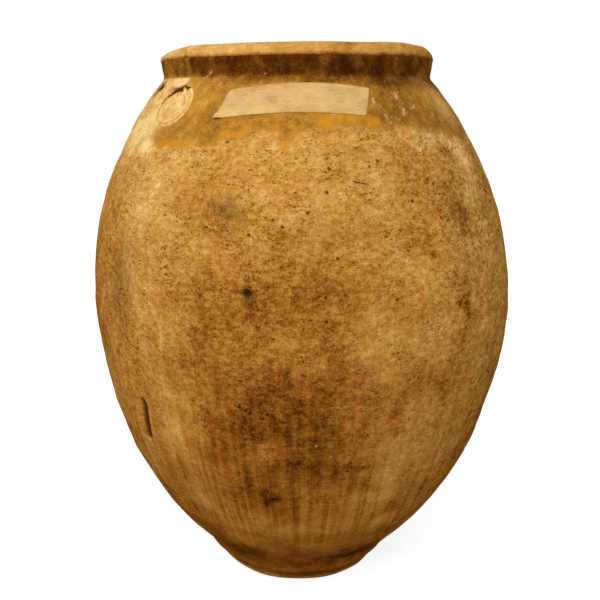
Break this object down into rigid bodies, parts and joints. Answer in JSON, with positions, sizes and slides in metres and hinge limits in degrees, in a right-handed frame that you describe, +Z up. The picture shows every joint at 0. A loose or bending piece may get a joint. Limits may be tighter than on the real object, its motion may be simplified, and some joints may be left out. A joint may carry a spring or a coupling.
{
  "type": "storage jar",
  "caption": "Large egg-shaped earthenware storage jar with a short collar, thick rounded lip, narrow foot, glazed shoulder and bare weathered belly, open at the top.",
  "frame": {"origin": "middle of the base, on the floor that the jar stands on", "axes": "+Z up along the jar's axis, the front with the paper tape faces -Y, the two stamped seals are on its left"},
  "size_m": [0.572, 0.572, 0.711],
  "materials": {
    "bare_clay": "bare fired earthenware, pitted and stained",
    "honey_glaze": "worn honey-brown lead glaze, satin",
    "lining_glaze": "honey-brown lining glaze, glossy",
    "paper_tape": "creped paper tape, matt"
  },
  "bodies": {
    "root": {"base_slab": "bare_clay", "foot_coil": "bare_clay", "wall_course_1": "bare_clay", "wall_course_2": "bare_clay", "wall_course_3": "bare_clay", "wall_course_4": "bare_clay", "wall_course_5": "bare_clay", "wall_course_6": "bare_clay", "shoulder_course": "bare_clay", "neck_collar": "bare_clay", "lip_coil": "bare_clay", "front_seal": "bare_clay", "side_seal": "bare_clay", "outside_glaze": "honey_glaze", "inside_glaze": "lining_glaze", "paper_tape": "paper_tape"}
  },
  "joints": []
}
